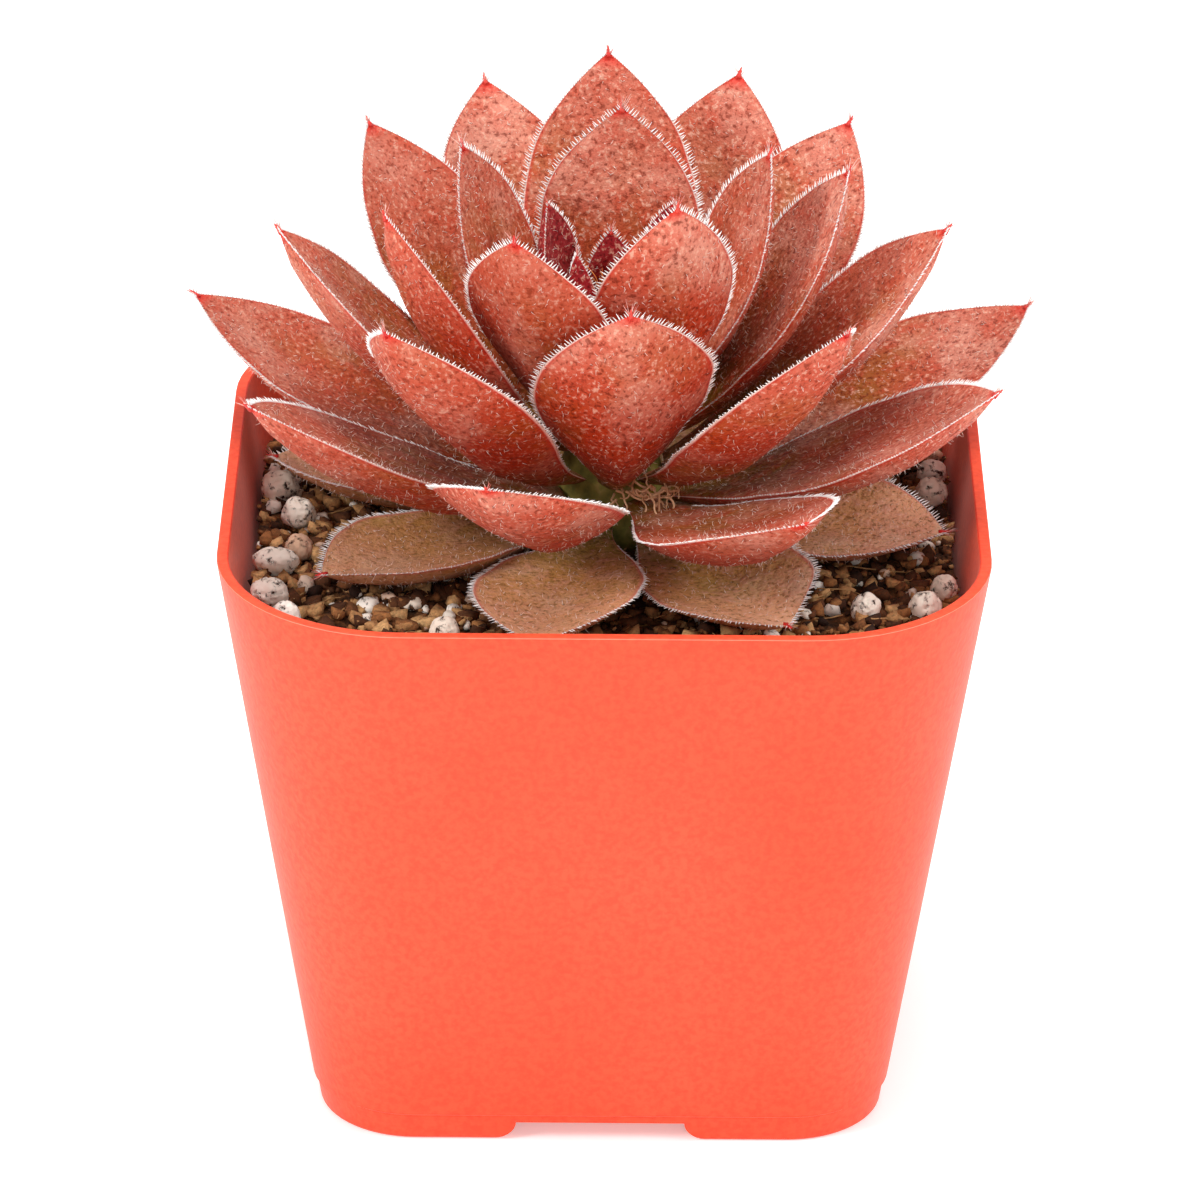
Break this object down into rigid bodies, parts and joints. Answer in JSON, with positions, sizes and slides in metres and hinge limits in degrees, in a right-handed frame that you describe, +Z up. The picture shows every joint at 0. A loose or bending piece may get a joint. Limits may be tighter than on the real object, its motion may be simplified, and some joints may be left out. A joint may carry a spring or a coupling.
{
  "type": "potted succulent",
  "caption": "Rosette succulent with fleshy pointed leaves fringed with fine hairs, growing in gritty soil in a small tapered square plastic nursery pot.",
  "frame": {"origin": "on the ground, under the middle of the part's bounding box, which is 0.9 mm behind and 0.5 mm to the right of the pot's middle", "axes": "+Z up, -Y towards the side of the pot that is the front, +X to the right seen from the front"},
  "size_m": [0.0714, 0.0656, 0.0792],
  "materials": {
    "coral_plastic": "finely grained moulded plastic, coral red",
    "potting_soil": "loose dark potting mix",
    "pumice": "off-white pumice with small dark pits",
    "stem_skin": "soft green-brown stem",
    "dry_stub_skin": "drying olive stub",
    "leaf_skin": "fleshy leaf, dusty terracotta red with fine hairs",
    "old_leaf_skin": "older fleshy leaf, brown and rose",
    "heart_leaf_skin": "young leaf, deep crimson"
  },
  "bodies": {
    "root": {"pot": "coral_plastic", "soil": "potting_soil", "stem": "stem_skin", "dry_stub": "dry_stub_skin", "stone_left_back": "pumice", "stone_left_middle": "pumice", "stone_left_low": "pumice", "stone_left_large": "pumice", "stone_left_front": "pumice", "stone_corner_left": "pumice", "stone_front_left": "pumice", "stone_front_middle": "pumice", "stone_right_middle": "pumice", "stone_right_front": "pumice", "stone_corner_right": "pumice", "stone_right_back": "pumice", "stone_right_far": "pumice", "old_leaf_1": "old_leaf_skin", "old_leaf_2": "old_leaf_skin", "old_leaf_3": "old_leaf_skin", "old_leaf_4": "old_leaf_skin", "old_leaf_5": "old_leaf_skin", "old_leaf_6": "old_leaf_skin", "old_leaf_7": "old_leaf_skin", "old_leaf_8": "old_leaf_skin", "spread_leaf_1": "leaf_skin", "spread_leaf_2": "leaf_skin", "spread_leaf_3": "leaf_skin", "spread_leaf_4": "leaf_skin", "spread_leaf_5": "leaf_skin", "spread_leaf_6": "leaf_skin", "spread_leaf_7": "leaf_skin", "spread_leaf_8": "leaf_skin", "rising_leaf_1": "leaf_skin", "rising_leaf_2": "leaf_skin", "rising_leaf_3": "leaf_skin", "rising_leaf_4": "leaf_skin", "rising_leaf_5": "leaf_skin", "rising_leaf_6": "leaf_skin", "rising_leaf_7": "leaf_skin", "rising_leaf_8": "leaf_skin", "upright_leaf_1": "leaf_skin", "upright_leaf_2": "leaf_skin", "inner_leaf_1": "leaf_skin", "inner_leaf_2": "leaf_skin", "inner_leaf_3": "leaf_skin", "inner_leaf_4": "leaf_skin", "inner_leaf_5": "leaf_skin", "heart_leaf_1": "heart_leaf_skin", "heart_leaf_2": "heart_leaf_skin", "bud_leaf_1": "heart_leaf_skin", "bud_leaf_2": "heart_leaf_skin", "bud_leaf_3": "heart_leaf_skin"}
  },
  "joints": []
}
